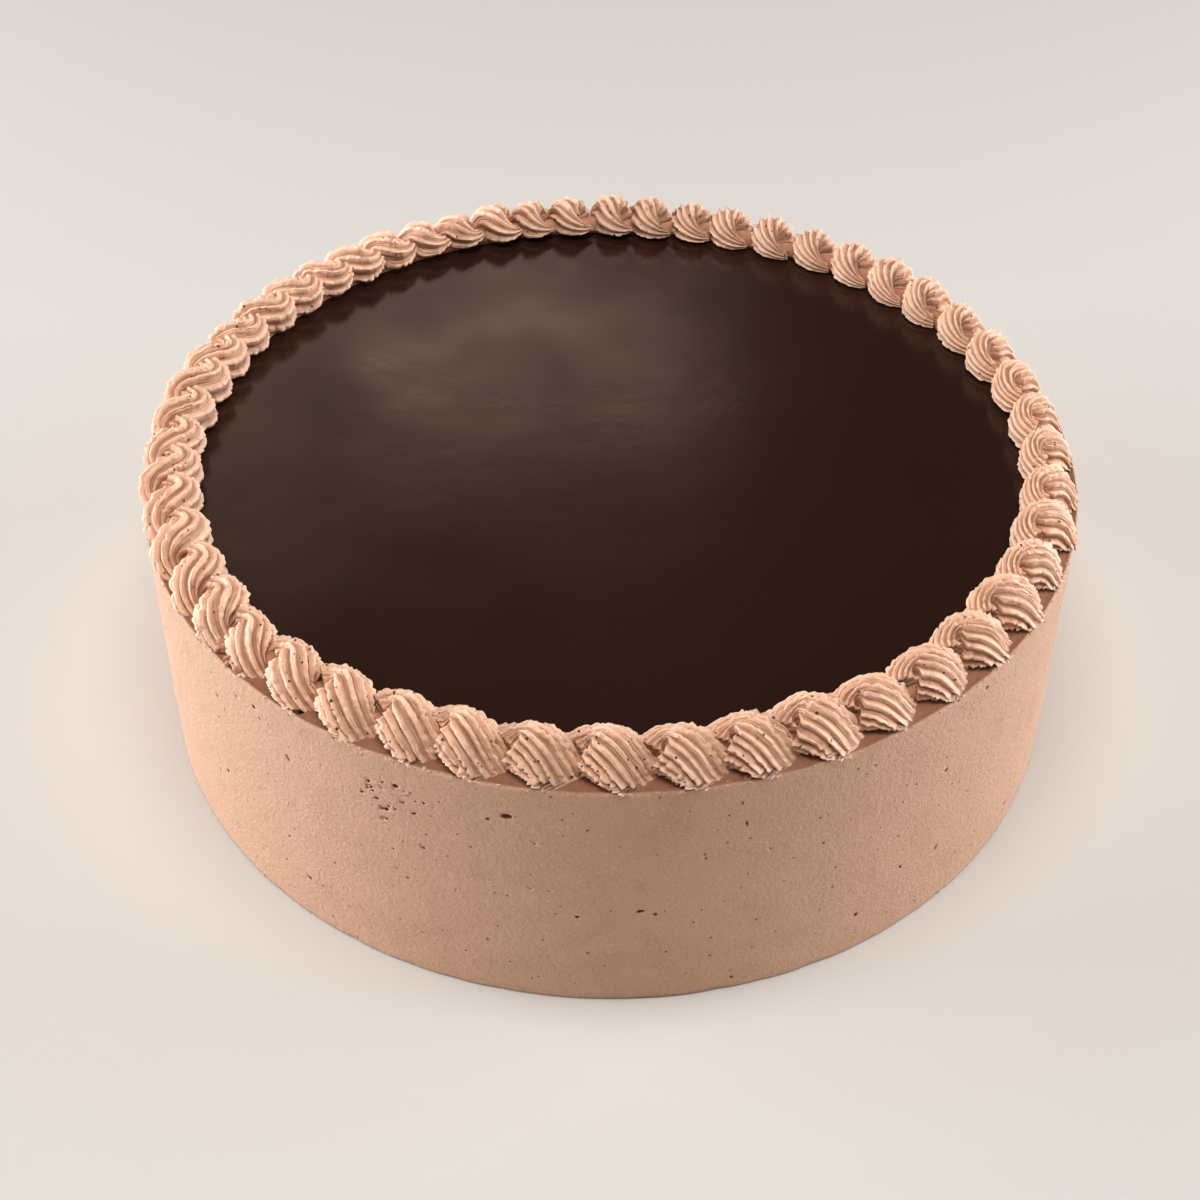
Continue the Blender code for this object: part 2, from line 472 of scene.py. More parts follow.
@dataclass(frozen=True)
class Buttercream(Finish):
    """Whipped chocolate buttercream: fat full of fine air.

    It is matt, light sinks a little way into it, and where air bubbles burst it has small pits, darkened with
    painted shade.

    Attributes:
        pit: Colour of the painted shade in the pits.
        pit_spacing: Distance between places that may hold a pit.
        pit_reach: Radius of the largest pits, as a share of that distance.
        pit_draw: Which of a place's random numbers gives its pit's size.
        rare: Draws below this make no pit.
        glow: Share of the light that sinks in.
        glow_depth: How far it gets, in metres.
    """

    # Painted shade in the pits.
    pit: str = "#86604c"
    pit_spacing: float = 0.0026
    pit_reach: float = 0.17
    pit_draw: str = "Red"
    pit_relief: Relief = Relief(0.9, 0.0004, inward=True)
    rare: float = 0.45
    pit_edge: float = 0.05
    glow: float = 0.12
    glow_colour: tuple[float, float, float] = (1.0, 0.55, 0.35)
    glow_depth: float = 0.0015

    def start(self) -> tuple[bpy.types.Material, bpy.types.Node, bpy.types.NodeSocket]:
        """Starts the material and lets light sink into it.

        Returns:
            The material, its shader, and the socket that gives each point's place on the object.
        """
        material, shader, place = super().start()
        shader.inputs["Subsurface Weight"].default_value = self.glow
        shader.inputs["Subsurface Radius"].default_value = self.glow_colour
        shader.inputs["Subsurface Scale"].default_value = self.glow_depth
        return material, shader, place

    def pits(self, tree: bpy.types.NodeTree, place: bpy.types.NodeSocket) -> bpy.types.NodeSocket:
        """Scatters round pits of many sizes.

        Args:
            tree: The material's node tree.
            place: Socket that gives each point's place.

        Returns:
            The socket that is 1 inside a pit and 0 outside.
        """
        cells = add_node(tree, "ShaderNodeTexVoronoi", {}, {"Vector": place, "Scale": 1 / self.pit_spacing})
        drawn = add_node(tree, "ShaderNodeSeparateColor", {}, {"Color": cells.outputs["Color"]})
        reach = add_node(tree, "ShaderNodeMapRange", {}, {
            "Value": drawn.outputs[self.pit_draw], "From Min": self.rare, "From Max": 1.0,
            "To Min": 0.0, "To Max": self.pit_reach,
        })
        inside = add_node(tree, "ShaderNodeMath", {"operation": "SUBTRACT"}, {
            0: reach.outputs["Result"], 1: cells.outputs["Distance"],
        })
        pit = add_node(tree, "ShaderNodeMapRange", {}, {
            "Value": inside.outputs[0], "From Min": 0.0, "From Max": self.pit_edge,
        })
        return pit.outputs["Result"]


@dataclass(frozen=True)
class SmoothedButtercream(Buttercream):
    """Buttercream spread and drawn smooth with a scraper: softly mottled, with a fine grain and pinholes.

    The real grain is about 0.2 mm and too fine to show, so it is drawn at 0.6 mm.

    Attributes:
        deep_range: Values of the mottling between which the deep tone comes in, and its greatest share.
        speck_range: The same of the grain and its pale specks.
    """

    name: str = "whipped_chocolate_buttercream_smoothed"
    roughness: float = 0.62
    colour: str = "#ca9d81"
    pale: str = "#d6a98d"
    deep: str = "#b98b6d"
    speck: str = "#e6c0a6"
    # Painted shade inside the air holes.
    hole_painted_shade: str = "#93583a"
    # Painted shade on the strip of coat on the rim, under the shells.
    ledge: str = "#93654c"
    clouds: Pattern = Pattern(0.045, 3.0)
    mottling: Pattern = Pattern(0.009, 4.0, Relief(0.25, 0.0006))
    pebbling: Pattern = Pattern(0.0014, 2.0, Relief(0.6, 0.0007))
    grain: Pattern = Pattern(0.0006, 4.0, Relief(0.8, 0.0006), 0.7)
    deep_range: tuple[float, float, float] = (0.52, 0.80, 0.45)
    speck_range: tuple[float, float, float] = (0.50, 0.66, 0.60)

    def material(self) -> bpy.types.Material:
        """Builds the material, which paints shade inside the air holes and on the strip of coat under the
        shells.

        Returns:
            The material.
        """
        material, shader, place = self.start()
        tree = material.node_tree
        patterns = (self.clouds, self.mottling, self.pebbling, self.grain)
        clouds, mottling, pebbling, grain = (pattern.grow(tree, place) for pattern in patterns)
        pits = self.pits(tree, place)
        layers = [(clouds, self.pale)]
        for value, colour, (low, high, share) in (
            (mottling, self.deep, self.deep_range),
            (grain, self.speck, self.speck_range),
        ):
            shown = add_node(tree, "ShaderNodeMapRange", {}, {
                "Value": value, "From Min": low, "From Max": high, "To Max": share,
            })
            layers.append((shown.outputs["Result"], colour))
        # Painted shade in the pits.
        layers.append((pits, self.pit))
        # Painted shade inside the air holes and on the strip of coat under the shells.
        for name, colour in ((Mark.HOLE, self.hole_painted_shade), (Mark.LEDGE, self.ledge)):
            told = add_node(tree, "ShaderNodeAttribute", {"attribute_name": name.value})
            layers.append((told.outputs["Fac"], colour))
        self.colour_surface(shader, self.colour, layers)
        self.raise_surface(shader, [
            (mottling, self.mottling.relief),
            (pebbling, self.pebbling.relief),
            (grain, self.grain.relief),
            (pits, self.pit_relief),
        ])
        return material


@dataclass(frozen=True)
class PipedButtercream(Buttercream):
    """The same buttercream, lighter, pushed through a star nozzle.

    Its ridges carry a painted highlight and its grooves painted shade, with fine streaks drawn out along the
    strand. The real streaks are about 0.2 mm wide and too fine to show, so they are drawn at 0.5 mm.

    Attributes:
        streak_size: Width of a streak.
        streak_share: Width of a streak as a share of its length.
        streak_step: Shift of the streaks from shell to shell.
        crest_gain: How soon the painted highlight of the ridges is reached.
        streak_gain: How strongly the streaks change the tone.
    """

    name: str = "whipped_chocolate_buttercream_piped"
    roughness: float = 0.58
    # Painted shade in the pits.
    pit: str = "#5e3b29"
    pit_spacing: float = 0.0018
    pit_reach: float = 0.24
    pit_draw: str = "Green"
    glow_depth: float = 0.0012
    # Painted highlight on the ridges.
    crest: str = "#f6c9ad"
    # Painted shade in the grooves.
    groove_painted_shade: str = "#b68263"
    tears: Pattern = Pattern(0.0016, 3.0, Relief(0.6, 0.0009))
    grain: Pattern = Pattern(0.0005, 2.0, Relief(0.35, 0.00012))
    streaks: Pattern = Pattern(1.0, 3.0, Relief(0.9, 0.0011))
    streak_size: float = 0.0005
    streak_share: float = 0.14
    streak_step: float = 7.3
    crest_gain: float = 1.35
    streak_gain: float = 1.7

    def material(self) -> bpy.types.Material:
        """Builds the material, which reads each point's share of a ridge and its place on the strand.

        Returns:
            The material.
        """
        material, shader, place = self.start()
        tree = material.node_tree
        crest = add_node(tree, "ShaderNodeAttribute", {"attribute_name": Mark.CREST.value})
        strand = add_node(tree, "ShaderNodeAttribute", {"attribute_name": Mark.STRAND.value})
        drawn_out = add_node(tree, "ShaderNodeMapping", {}, {
            "Vector": strand.outputs["Vector"],
            "Scale": (self.streak_share / self.streak_size, 1 / self.streak_size, self.streak_step),
        })
        tears = self.tears.grow(tree, place)
        grain = self.grain.grow(tree, place)
        streaks = self.streaks.grow(tree, drawn_out.outputs["Vector"])
        pits = self.pits(tree, place)
        uneven = add_node(tree, "ShaderNodeMath", {"operation": "MULTIPLY_ADD"}, {
            0: streaks, 1: self.streak_gain, 2: -self.streak_gain / 2,
        })
        # Share of the painted highlight on the ridges over the painted shade in the grooves, broken up by the
        # streaks.
        ridge = add_node(tree, "ShaderNodeMath", {"operation": "MULTIPLY_ADD", "use_clamp": True}, {
            0: crest.outputs["Fac"], 1: self.crest_gain, 2: uneven.outputs[0],
        })
        # The pits get painted shade too.
        self.colour_surface(shader, self.groove_painted_shade, [(ridge.outputs[0], self.crest), (pits, self.pit)])
        self.raise_surface(shader, [
            (tears, self.tears.relief),
            (streaks, self.streaks.relief),
            (grain, self.grain.relief),
            (pits, self.pit_relief),
        ])
        return material


@dataclass(frozen=True)
class PouredGanache(Finish):
    """Dark chocolate ganache, poured and left to set: nearly black, satin, faintly uneven in its gloss.

    Attributes:
        sheen_colour: Tint of its gloss.
        gloss_range: How far the roughness falls and rises over the swells.
    """

    name: str = "dark_chocolate_ganache_set"
    roughness: float = 0.19
    specular: float = 0.2
    colour: str = "#2b1812"
    deep: str = "#22120e"
    sheen_colour: str = "#ffd8c8"
    swells: Pattern = Pattern(0.035, 2.0, Relief(0.5, 0.00038))
    ripples: Pattern = Pattern(0.0035, 3.0, Relief(0.25, 0.0001))
    gloss_range: Pair = (-0.03, 0.05)

    def material(self) -> bpy.types.Material:
        """Builds the material.

        Returns:
            The material.
        """
        material, shader, place = self.start()
        tree = material.node_tree
        swells = self.swells.grow(tree, place)
        ripples = self.ripples.grow(tree, place)
        low, high = (self.roughness + change for change in self.gloss_range)
        gloss = add_node(tree, "ShaderNodeMapRange", {}, {
            "Value": swells, "From Min": 0.3, "From Max": 0.7, "To Min": low, "To Max": high,
        })
        tree.links.new(gloss.outputs["Result"], shader.inputs["Roughness"])
        shader.inputs["Specular Tint"].default_value = linear(self.sheen_colour)
        self.colour_surface(shader, self.colour, [(swells, self.deep)])
        self.raise_surface(shader, [(swells, self.swells.relief), (ripples, self.ripples.relief)])
        return material


@dataclass(frozen=True)
class AirHole:
    """One larger air hole in the side: a squashed bubble.

    Attributes:
        azimuth: Angle round the axis, in degrees.
        level: Height of its middle.
        half_width: Half its size along the wall.
        half_height: Half its size up the wall.
        tilt: Turn in the wall's surface, in degrees.
        depth_share: Half its depth as a share of the smaller of the two.
    """

    azimuth: float
    level: float
    half_width: float
    half_height: float
    tilt: float
    depth_share: float = 1.5

    def place(self, reach: float) -> Matrix:
        """Places the bubble.

        Args:
            reach: Distance of its middle from the axis.

        Returns:
            A matrix that takes a unit sphere to the bubble.
        """
        depth = min(self.half_width, self.half_height) * self.depth_share
        round_axis = Matrix.Rotation(math.radians(self.azimuth), 4, "Z")
        turned = Matrix.Rotation(math.radians(self.tilt), 4, "X")
        size = Matrix.Diagonal((depth, self.half_width, self.half_height, 1.0))
        return round_axis @ Matrix.Translation((reach, 0, self.level)) @ turned @ size


@dataclass
class CoatedCake:
    """The cake's side and rim under smoothed buttercream, with the larger air holes cut into it.

    Attributes:
        rim_radius: Radius at the top edge.
        foot_radius: Radius at the bottom edge.
        height: Height of the top edge.
        ganache_radius: Radius of the recess that holds the ganache.
        ganache_floor: Height of the recess's floor.
        rim_bead: Height of the bead of cream that the scraper pushed up over the edge.
        unevenness: How far the scraper left the side in, at most.
        step_level: Height of a faint step that the scraper left in the side.
        sag: How far the rim sags in places.
        ragged: How far the foot is drawn in, in places.
        hole_density: Small air holes per square metre.
        hole_size: Radii of the smallest and the largest of them.
        large_holes: The larger air holes, where the photograph shows them.
        pit_sector: First and last azimuth of a patch of pits, and the azimuth where most are, in degrees.
        pit_level: Least and greatest height of the patch.
        pit_size: Least half height of a pit, and how much larger the largest are.
    """

    rim_radius: float = 0.1200
    foot_radius: float = 0.1212
    height: float = 0.0713
    ganache_radius: float = 0.1122
    ganache_floor: float = 0.0690
    rim_rounding: float = 0.0006
    foot_rounding: float = 0.0009
    rim_bead: float = 0.00028
    bead_width: float = 0.0004
    unevenness: float = 0.0005
    step_level: float = 0.014
    step_wander: float = 0.003
    step_depth: float = 0.00012
    step_softness: float = 0.0008
    sag: float = 0.00022
    ragged: float = 0.0003
    ragged_height: float = 0.0022
    columns: int = 540
    side_rows: int = 64
    rim_rows: int = 8
    hole_density: float = 3200.0
    hole_size: Pair = (0.00022, 0.00062)
    large_holes: Sequence[AirHole] = (
        AirHole(-101.0, 0.0619, 0.00140, 0.00090, 4.0),
        AirHole(-86.8, 0.0326, 0.00100, 0.00060, 8.0),
        AirHole(-49.2, 0.0212, 0.00140, 0.00035, 62.0),
        AirHole(-128.1, 0.0556, 0.00110, 0.00035, -58.0),
        AirHole(-75.6, 0.0580, 0.00040, 0.00090, 12.0),
        AirHole(-113.4, 0.0633, 0.00085, 0.00065, 20.0),
        AirHole(-116.6, 0.0602, 0.00075, 0.00060, -15.0),
        AirHole(-114.8, 0.0545, 0.00070, 0.00060, 30.0),
    )
    pit_count: int = 46
    pit_sector: tuple[float, float, float] = (-118.5, -107.5, -115.5)
    pit_level: Pair = (0.0500, 0.0630)
    pit_size: Pair = (0.00016, 0.00030)

    def profile(self) -> np.ndarray:
        """Draws the coat's outline, from the recess's edge over the rim and down to the foot.

        Returns:
            A line for each row of points, with its radius and its height.
        """
        quarter = np.linspace(0, math.pi / 2, 5)
        rim_foot = self.height - self.rim_rounding
        rim_top = np.linspace(self.ganache_radius + 0.0006, self.rim_radius - 0.001, self.rim_rows)
        inside = [(self.ganache_radius, self.ganache_floor)]
        inside += [(self.ganache_radius + 0.0001, self.height - 0.0002)]
        inside += [(radius, self.height) for radius in rim_top]
        rim = [
            (self.rim_radius - self.rim_rounding * (1 - math.sin(turn)),
             self.height - self.rim_rounding * (1 - math.cos(turn)))
            for turn in quarter
        ]
        side = [
            (self.rim_radius + (self.foot_radius - self.rim_radius) * share,
             rim_foot - share * (rim_foot - self.foot_rounding))
            for share in np.linspace(0, 1, self.side_rows + 1)[1:]
        ]
        foot = [
            (self.foot_radius - self.foot_rounding * (1 - math.cos(turn)),
             self.foot_rounding * (1 - math.sin(turn)))
            for turn in quarter[1:]
        ]
        return np.array(inside + rim + side + foot)

    def scraped(self, azimuth: np.ndarray, level: np.ndarray) -> np.ndarray:
        """Gives how far in the scraper left the side.

        Args:
            azimuth: Angle round the axis at each point.
            level: Height of each point.

        Returns:
            A distance for each point.
        """
        broad = waves(azimuth, level * 0.6, 0.14, 3)
        fine = waves(azimuth, level * 2.0, 0.030, 4)
        step_at = self.step_level + self.step_wander * waves(azimuth, 0, 0.10, 8)
        step = self.step_depth * np.tanh((level - step_at) / self.step_softness)
        inward = self.unevenness * (0.5 + 0.30 * broad + 0.12 * fine) - step
        return np.clip(inward, 0.0, 2 * self.unevenness)

    def wall(self) -> bpy.types.Object:
        """Builds the closed, softly uneven coat.

        Returns:
            The coat, without its air holes.
        """
        azimuth = (np.arange(self.columns) / self.columns * math.tau)[None, :]
        radius, level = (np.repeat(column[:, None], self.columns, axis=1) for column in self.profile().T)
        side = np.clip((radius - 0.117) / 0.003, 0, 1)
        radius = radius - side * self.scraped(azimuth, level)
        uneven = waves(azimuth, 0, 0.012, 21, 9)
        sag = self.sag * np.clip(waves(azimuth, 0, 0.09, 12), 0, 2)
        level = level - np.where(level > self.height - 2 * self.rim_rounding, sag * side, 0.0)
        on_top = level > self.height - 1.5 * self.rim_rounding
        bead = np.exp(-(((radius - self.rim_radius + self.rim_rounding) / self.bead_width) ** 2)) * on_top
        level = level + self.rim_bead * bead * (1 + 0.8 * uneven)
        at_foot = np.clip((self.ragged_height - level) / self.ragged_height, 0, 1)
        radius = radius - side * at_foot * np.clip(self.ragged * uneven, 0, 0.001)
        points = np.stack([radius * np.cos(azimuth), radius * np.sin(azimuth), level], axis=-1)
        item = closed_rings("buttercream_coat", points, self.ganache_floor, 0.0)
        places = np.empty(len(item.data.vertices) * 3)
        item.data.vertices.foreach_get("co", places)
        x, y, z = places.reshape(-1, 3).T
        # The strip of coat on the rim under the shells, which gets painted shade.
        inside = np.clip((self.rim_radius - 0.0002 - np.hypot(x, y)) / 0.0004, 0, 1)
        mark(item, Mark.LEDGE, inside * (z > self.height - 1.5 * self.rim_rounding))
        return item

    def hole_tree(self) -> bpy.types.NodeTree:
        """Builds the node tree that scatters bubbles over a surface, the largest of them rare.

        Returns:
            The tree.
        """
        smallest, largest = self.hole_size
        tree, given = start_tree("scattered_air_bubbles", {
            "Geometry": "NodeSocketGeometry", "Per Square Metre": self.hole_density,
            "Smallest": smallest, "Largest": largest, "Material": "NodeSocketMaterial",
        })
        spread = add_node(tree, "GeometryNodeDistributePointsOnFaces", {}, {
            "Mesh": given["Geometry"], "Density": given["Per Square Metre"], "Seed": 5,
        })
        draw = add_node(tree, "FunctionNodeRandomValue", {"data_type": "FLOAT"}, {2: 0.0, 3: 1.0, "Seed": 9})
        rare = add_node(tree, "ShaderNodeMath", {"operation": "POWER"}, {0: draw.outputs[1], 1: 3.0})
        size = add_node(tree, "ShaderNodeMapRange", {}, {
            "Value": rare.outputs[0], "To Min": given["Smallest"], "To Max": given["Largest"],
        })
        bubble = add_node(tree, "GeometryNodeMeshIcoSphere", {}, {"Radius": 1.0, "Subdivisions": 2})
        placed = add_node(tree, "GeometryNodeInstanceOnPoints", {}, {
            "Points": spread.outputs["Points"], "Instance": bubble.outputs["Mesh"],
            "Scale": size.outputs["Result"],
        })
        end_tree(tree, placed.outputs["Instances"], given["Material"])
        return tree

    def pits(self) -> list[AirHole]:
        """Draws the patch of pits.

        Returns:
            The pits, each as an air hole.
        """
        chance = random.Random(17)
        pits = []
        for _ in range(self.pit_count):
            size = self.pit_size[0] + self.pit_size[1] * chance.random() ** 2
            azimuth = chance.triangular(*self.pit_sector)
            level = chance.uniform(*self.pit_level)
            pits.append(AirHole(azimuth, level, size * 1.3, size, math.degrees(chance.uniform(-1.2, 1.2))))
        return pits

    def cut(self, coat: bpy.types.Object, material: bpy.types.Material) -> None:
        """Cuts scattered air holes, the few larger ones and the patch of pits into the coat.

        Args:
            coat: The coat to cut.
            material: The finish of the coat.
        """
        bubbles = grow("air_bubbles", self.hole_tree(), {"Material": material}, coat.data.copy())
        placed = [hole.place(self.rim_radius + 0.0002) for hole in self.large_holes]
        placed += [pit.place(self.rim_radius - 0.0001) for pit in self.pits()]
        larger = lumpy_spheres("larger_air_holes", placed)
        # The holes' walls carry a mark for the painted shade inside them.
        for item, value in ((coat, 0.0), (bubbles, 1.0), (larger, 1.0)):
            mark(item, Mark.HOLE, np.full(len(item.data.vertices), value))
        for cutter in (bubbles, larger):
            modifier = coat.modifiers.new("holes", "BOOLEAN")
            modifier.operation = "DIFFERENCE"
            modifier.object = cutter
            modifier.solver = "MANIFOLD"
        settle(coat)
        for cutter in (bubbles, larger):
            bpy.data.objects.remove(cutter, do_unlink=True)

    def build(self, material: bpy.types.Material) -> None:
        """Builds the coat, cuts its holes and dresses it.

        Args:
            material: The finish of the coat.
        """
        coat = self.wall()
        self.cut(coat, material)
        dress(coat, material, Slot.COAT, "buttercream_cake")


@dataclass
class GanacheTop:
    """The ganache on the cake's top, a thin disc that fills the recess inside the border.

    Attributes:
        radius: Radius of the disc, its edge under the border.
        top: Height of its surface.
        floor: Height of its underside.
        unevenness: Depth of the shallow hollows in its surface.
        hollows: Waves in its surface: radians per metre along X and along Y, and where the wave starts.
    """

    radius: float = 0.1120
    top: float = 0.0713
    floor: float = 0.0692
    unevenness: float = 0.00025
    hollows: Sequence[tuple[float, float, float]] = ((62, 21, 0.7), (-34, 58, 2.1), (88, -47, 4.0))
    rings: int = 56
    columns: int = 300

    def build(self, material: bpy.types.Material) -> None:
        """Builds the closed disc with its slightly uneven surface, and dresses it.

        Args:
            material: The finish of the ganache.
        """
        azimuth = np.arange(self.columns) / self.columns * math.tau
        radius = self.radius * np.linspace(0, 1, self.rings + 1)[1:]
        x = radius[:, None] * np.cos(azimuth)
        y = radius[:, None] * np.sin(azimuth)
        hollow = sum(np.sin(x * across + y * along + start) for across, along, start in self.hollows)
        level = self.top - self.unevenness * (0.5 - 0.5 * hollow / len(self.hollows))
        surface = np.stack([x, y, level], axis=-1)
        edge = np.stack([x[-1:], y[-1:], np.full_like(x[-1:], self.floor)], axis=-1)
        item = closed_rings("ganache_top", np.concatenate([surface, edge]), level[0].mean(), self.floor)
        dress(item, material, Slot.TOP, "chocolate_glaze")


@dataclass(frozen=True)
class Stretch:
    """A stretch of the border where the shells differ from the usual.

    Attributes:
        azimuth: Its middle, in degrees.
        steepness: How quickly the shells change at its ends.
        width: The greater, the wider it is.
    """

    azimuth: float
    steepness: float
    width: float

    def weight(self, azimuth: float) -> float:
        """Gives 1 in the stretch and 0 outside, with a smooth change, for an azimuth in radians."""
        share = self.steepness * math.cos(azimuth - math.radians(self.azimuth)) + self.width
        return min(max(share, 0.0), 1.0)


@dataclass(frozen=True)
class Shell:
    """One piped shell.

    Attributes:
        number: Its number round the ring.
        azimuth: Its place on the ring.
        even_azimuth: Where it would be without its small shift.
        pitch: Its share of the ring's length.
        size: Its size, about 1.
        headings: Directions of its strand at the start, in the middle and at the end.
        weights: How much it belongs to the chain, to the front and to the back.
    """

    number: int
    azimuth: float
    even_azimuth: float
    pitch: float
    size: float
    headings: tuple[float, float, float]
    weights: tuple[float, float, float]

    def mix(self, values: Mixture) -> float:
        """Mixes a size for this shell.

        Args:
            values: The size as usual, in the chain on the left, at the front and at the back.

        Returns:
            The mixed size.
        """
        usual = values[0]
        mixed = usual
        for value, weight in zip(values[1:], self.weights):
            mixed = mixed + (value - usual) * weight
        return mixed


@dataclass
class Path:
    """The line that a strand follows, seen from above. Each array is a column with a row for each station.

    Attributes:
        along: How far along it a station is, from 0 to 1.
        forward: How far round the ring from its start.
        outward: How far outwards from its start.
        heading: Its direction, from straight round the ring towards outwards.
        turn: Its turn per metre.
        length: Its whole length.
    """

    along: np.ndarray
    forward: np.ndarray
    outward: np.ndarray
    heading: np.ndarray
    turn: np.ndarray
    length: float


@dataclass
class PipedBorder:
    """The border of piped shells, each a ridged strand of cream that turns over and folds down to its foot.

    A size with four values has one for the usual shells, one for the chain on the left, one for the front
    and one for the back. A strand's length and half width are shares of the shell's pitch.

    Attributes:
        count: Shells round the cake.
        radius: Radius of the ring that the shells are piped on.
        band: Width of the border.
        base: Height that the shells are piped on.
        first: Azimuth of the first shell, before the swing.
        wide_side: Azimuth where the shells are widest apart.
        swing: How far the shells are shifted towards it, at most.
        join: Number of the small shell that closes the border.
        headings: Azimuth, and there the directions of a strand at its start, middle and end, in degrees.
        play: Random share of place and of size, and random degrees of the three directions.
        crest: Height of a shell, to which crest_per_pitch adds a share of its pitch.
        start_width: Width of the tail. Its height and its distance from the base follow.
        nose_width: Width of the nose. Its height, its reach and its distance from the base follow.
        tail_share: Share of the strand over which the tail comes down to the base.
        ragged_nose: Unevenness of the nose's end, from ridge to ridge, which starts at ragged_from.
        nose_from: Points further out from the middle than this share of the band count as the nose.
        fold_from: Where along the strand it starts to fold down.
        bend_at: Where along the strand its middle direction is reached.
        core: How far the strand reaches into a bend, at most, as a share of the bend's radius.
        undercut: How far the strand's section goes round below its widest place.
        ridge_roundness: How round the ridges are. The rest of their shape is pointed.
        ridge_wander: Unevenness of the ridges' widths: its size, and waves across and along the strand.
        rough: Fine unevenness of the ridges.
        torn_chance: Share of the ridges' points that are torn.
        torn_depth: Least and greatest depth of a tear.
        girth: Distance across the strand, round its outline, as a share of its length.
        quarters: Names of the border's pieces, each with its first shell and the one after its last.
    """

    count: int = 51
    radius: float = 0.1126
    band: float = 0.0162
    base: float = 0.0711
    first: float = math.radians(-84.7)
    wide_side: float = math.radians(-50.6)
    swing: float = math.radians(8.44)
    join: int = 45
    join_azimuth: float = math.radians(-136.1)
    join_size: float = 0.88
    headings: Sequence[tuple[float, float, float, float]] = (
        (-90, -40, 48, 38),
        (-45, -66, 46, 40),
        (0, -66, 60, 72),
        (45, -44, 74, 82),
        (90, -34, 74, 64),
        (135, -42, 56, 14),
        (180, -60, 58, -6),
        (225, -46, 52, 14),
    )
    play: tuple[float, float, float, float, float] = (0.04, 0.05, 6, 5, 8)
    stretches: Sequence[Stretch] = (Stretch(165, 1.2, 0.1), Stretch(-95, 1.4, -0.4), Stretch(75, 2.0, -0.7))
    length: Mixture = (1.16, 0.92, 1.12, 1.20)
    half_width: Mixture = (0.42, 0.38, 0.60, 0.52)
    start_width: Mixture = (0.66, 0.86, 0.74, 0.34)
    start_height: Mixture = (0.76, 0.94, 0.66, 0.24)
    start_lift: Mixture = (0.0006, 0.0042, 0.0004, 0.0003)
    tail_share: float = 0.45
    crest: float = 0.0075
    crest_per_pitch: float = 0.25
    nose_width: Mixture = (1.18, 0.90, 1.04, 1.00)
    nose_height: Mixture = (0.94, 0.78, 0.94, 0.92)
    nose_reach: Mixture = (0.85, 0.90, 0.60, 0.80)
    nose_lift: Mixture = (0.0016, 0.0008, 0.0018, 0.0014)
    ragged_nose: float = 0.05
    ragged_from: float = 0.6
    nose_from: float = 0.30
    fold_from: Mixture = (0.50, 0.50, 0.32, 0.46)
    bend_at: Mixture = (0.60, 0.62, 0.50, 0.46)
    core: float = 0.60
    undercut: float = math.radians(28)
    ridges: Mixture = (11.0, 7.0, 12.0, 10.0)
    ridge_depth: Mixture = (0.22, 0.27, 0.22, 0.22)
    ridge_roundness: float = 0.42
    ridge_wander: Sequence[tuple[float, float, float]] = ((0.012, 1.5, 0.0), (0.006, 4.0, 0.6))
    rough: float = 0.034
    torn_chance: float = 0.14
    torn_depth: Pair = (0.03, 0.13)
    girth: float = 1.5
    bed_radius: float = 0.1114
    bed_half_width: float = 0.0028
    bed_height: float = 0.0036
    bed_columns: int = 360
    bed_rows: int = 24
    stations: int = 60
    path_steps: int = 400
    per_ridge: int = 8
    seed: int = 11
    quarters: Mapping[str, tuple[int, int]] = field(default_factory=lambda: {
        "piped_shells_front": (44, 58),
        "piped_shells_right": (7, 20),
        "piped_shells_back": (20, 32),
        "piped_shells_left": (32, 44),
    })

    def azimuth(self, number: int) -> float:
        """Gives a shell's even place on the ring, wider apart on one side of the cake than on the other."""
        even = self.first + math.tau * number / self.count
        return even + self.swing * math.sin(even - self.wide_side)

    def heading(self, azimuth: float, column: int) -> float:
        """Looks up a direction of the strands for a place on the ring."""
        table = np.radians(np.array(self.headings))
        return float(np.interp(azimuth, table[:, 0], table[:, column], period=math.tau))

    def plan(self) -> list[Shell]:
        """Lays the shells out round the ring, each a little different.

        Returns:
            The shells in order.
        """
        chance = random.Random(self.seed)
        place_play, size_play, *heading_play = self.play
        shells = []
        for number in range(self.count):
            even = self.azimuth(number)
            spacing = (self.azimuth(number + 1) - self.azimuth(number - 1)) / 2
            azimuth = even + spacing * place_play * chance.uniform(-1, 1)
            size = 1 + size_play * chance.uniform(-1, 1)
            if number == self.join:
                azimuth, size = self.join_azimuth, self.join_size
            headings = tuple(
                self.heading(azimuth, column) + math.radians(play * chance.uniform(-1, 1))
                for column, play in enumerate(heading_play, start=1)
            )
            weights = tuple(stretch.weight(azimuth) for stretch in self.stretches)
            shells.append(Shell(number, azimuth, even, spacing * self.radius, size, headings, weights))
        return shells

    def path(self, shell: Shell) -> Path:
        """Draws the line of a strand, which bends from its first direction over the middle one to the last.

        Args:
            shell: The shell's plan.

        Returns:
            The line.
        """
        start, middle, end = shell.headings
        share = np.linspace(0, 1, self.stations)
        fine = np.linspace(0, 1, self.path_steps)
        bend_at = shell.mix(self.bend_at)
        heading = np.where(
            fine < bend_at,
            blend(start, middle, fine / bend_at),
            blend(middle, end, (fine - bend_at) / (1 - bend_at)),
        )
        length = shell.pitch * shell.mix(self.length)
        step = length / (len(fine) - 1)
        lines = (np.cumsum(np.cos(heading)) * step, np.cumsum(np.sin(heading)) * step, heading)
        forward, outward, direction = (np.interp(share, fine, line)[:, None] for line in lines)
        turn = np.interp(share, fine, np.gradient(heading, fine))[:, None] / length
        return Path(share[:, None], forward, outward, direction, turn, length)

